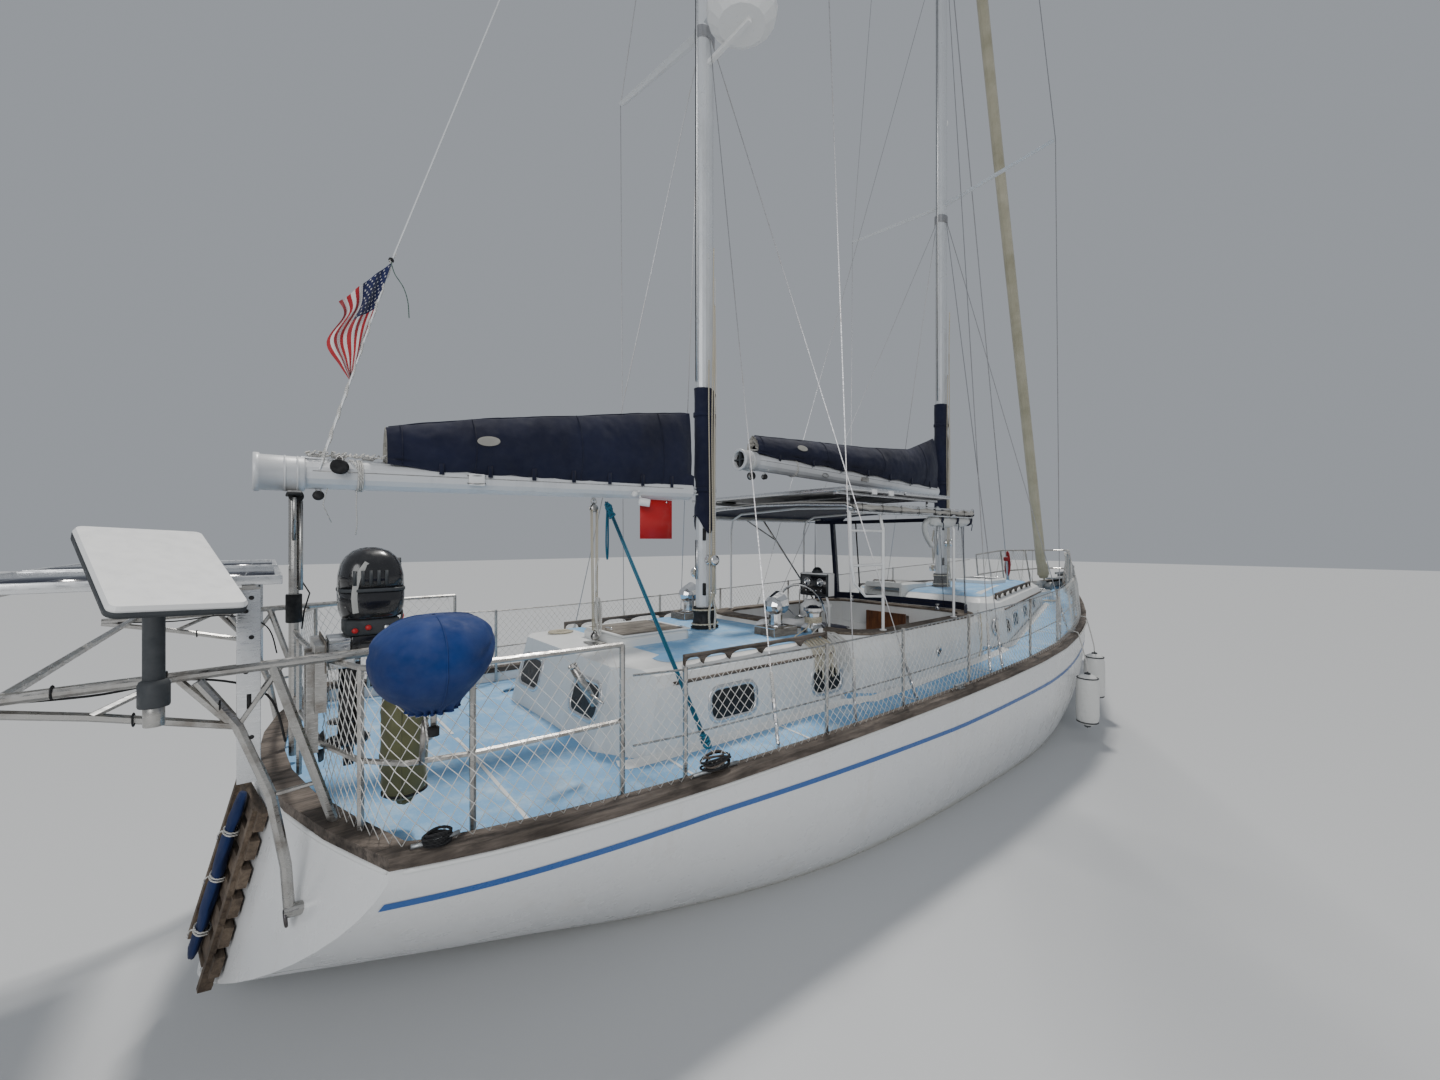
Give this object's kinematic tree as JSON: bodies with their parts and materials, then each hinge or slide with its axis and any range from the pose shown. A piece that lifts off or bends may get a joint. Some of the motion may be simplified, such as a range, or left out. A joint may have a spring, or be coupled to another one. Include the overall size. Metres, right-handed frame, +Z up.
{
  "type": "sailing yacht",
  "caption": "Centre-cockpit cruising ketch afloat with two masts, covered booms, furled headsail, bimini, stern davits with solar panels, keel, rudder and propeller.",
  "frame": {"origin": "on the waterline, on the centreline, about amidships", "axes": "+X to the bow, +Y to port, +Z up"},
  "size_m": [13.422, 3.7034, 16.72],
  "materials": {
    "gelcoat": "glossy white gelcoat",
    "deck_blue": "light blue non-slip paint",
    "antifoul": "matt dark antifouling paint",
    "teak": "bare weathered wood",
    "brown_wood": "varnished brown wood",
    "bronze": "cast bronze",
    "engine": "satin paint",
    "spar": "satin anodised",
    "stainless": "polished stainless steel",
    "navy_canvas": "navy canvas",
    "blue_canvas": "bright blue canvas",
    "sail_cloth": "weathered cloth strip",
    "solar": "dark glazed cells",
    "black": "black enamel",
    "white_plastic": "white plastic",
    "clear_vinyl": "clear flexible window sheet",
    "fender": "off-white inflatable",
    "olive": "olive cloth cover",
    "red": "red flag cloth",
    "galvanised": "dull galvanised steel"
  },
  "bodies": {
    "yacht": {"hull": "gelcoat", "aft_cabin_trunk": "gelcoat", "main_cabin_trunk": "gelcoat", "cockpit_coaming": "gelcoat", "cockpit_tub": "gelcoat", "deck": "deck_blue", "cap_rail": "teak", "coaming_cap": "teak", "ballast_keel": "antifoul", "engine": "engine", "seat_cushion_port": "navy_canvas", "seat_cushion_stbd": "navy_canvas", "main_cover_collar": "navy_canvas", "mizzen_cover_collar": "navy_canvas", "bimini_top": "navy_canvas", "helm_pedestal": "white_plastic", "satellite_antenna": "white_plastic", "radome": "white_plastic", "inner_forestay": "stainless", "main_cap_shrouds": "stainless", "main_lower_shrouds": "stainless", "mizzen_cap_shrouds": "stainless", "mizzen_lower_shrouds": "stainless", "lifelines_port": "stainless", "lifelines_stbd": "stainless", "pushpit": "stainless", "pulpit": "stainless", "davits": "stainless", "winch_stbd": "stainless", "winch_port": "stainless", "cowl_vent_port": "stainless", "cowl_vent_stbd": "stainless", "bimini_frame": "stainless", "main_mast": "spar", "mizzen_mast": "spar", "furled_genoa": "sail_cloth", "davit_solar_panels": "solar", "bimini_solar_panels": "solar", "grill": "blue_canvas", "outboard_motor": "black", "fender_quarter": "olive", "fenders_bow": "fender", "anchor_and_roller": "galvanised", "windlass": "galvanised", "dodger": "clear_vinyl"},
    "rudder": {"rudder": "antifoul"},
    "helm": {"steering_wheel": "stainless"},
    "propeller": {"propeller": "bronze"},
    "main_boom": {"main_boom": "spar", "main_sail_cover": "navy_canvas"},
    "mizzen_boom": {"mizzen_boom": "spar", "mizzen_sail_cover": "navy_canvas", "ensign": "red"},
    "aft_hatch": {"aft_hatch": "gelcoat"},
    "main_hatch": {"main_hatch": "gelcoat"},
    "fore_hatch": {"fore_hatch": "gelcoat"},
    "companionway_hatch": {"companionway_hatch": "gelcoat"},
    "companionway_door": {"companionway_door": "brown_wood"},
    "swim_platform": {"swim_platform": "teak"}
  },
  "joints": [
    {"name": "rudder_turn", "type": "hinge", "parent": "yacht", "child": "rudder", "pos_m": [-4.24, 0, -0.9], "axis": [0, 0, 1], "range_deg": [-35, 35]},
    {"name": "wheel_turn", "type": "hinge", "parent": "yacht", "child": "helm", "pos_m": [-1.92, 0, 1.46], "axis": [1, 0, 0], "range_deg": [-540, 540]},
    {"name": "propeller_spin", "type": "hinge", "parent": "yacht", "child": "propeller", "pos_m": [-3.98, 0, -0.78], "axis": [1, 0, 0], "continuous": true},
    {"name": "main_boom_swing", "type": "hinge", "parent": "yacht", "child": "main_boom", "pos_m": [0.92, 0, 2.97], "axis": [0, 0, 1], "range_deg": [-32, 32]},
    {"name": "mizzen_boom_swing", "type": "hinge", "parent": "yacht", "child": "mizzen_boom", "pos_m": [-3.33, 0, 2.735], "axis": [0, 0, 1], "range_deg": [-60, 60]},
    {"name": "aft_hatch_lift", "type": "hinge", "parent": "yacht", "child": "aft_hatch", "pos_m": [-3.592, 0, 1.56], "axis": [0, 1, 0], "range_deg": [0, 95]},
    {"name": "main_hatch_lift", "type": "hinge", "parent": "yacht", "child": "main_hatch", "pos_m": [2.568, 0, 1.7], "axis": [0, 1, 0], "range_deg": [0, 95]},
    {"name": "fore_hatch_lift", "type": "hinge", "parent": "yacht", "child": "fore_hatch", "pos_m": [4.468, 0, 1.4], "axis": [0, 1, 0], "range_deg": [0, 90]},
    {"name": "companionway_slide", "type": "slide", "parent": "yacht", "child": "companionway_hatch", "axis": [1, 0, 0], "range_m": [0, 0.5]},
    {"name": "companionway_door_swing", "type": "hinge", "parent": "yacht", "child": "companionway_door", "pos_m": [-0.3283, 0.28, 1.06], "axis": [0, 0, -1], "range_deg": [0, 100]},
    {"name": "swim_platform_fold", "type": "hinge", "parent": "yacht", "child": "swim_platform", "pos_m": [-6.478, -0.31, 0.33], "axis": [0.1392, -0.9903, 0], "range_deg": [0, 104]}
  ],
  "couplings": [
    {"joint": "wheel_turn", "follows": "rudder_turn", "ratio": 15.4}
  ]
}
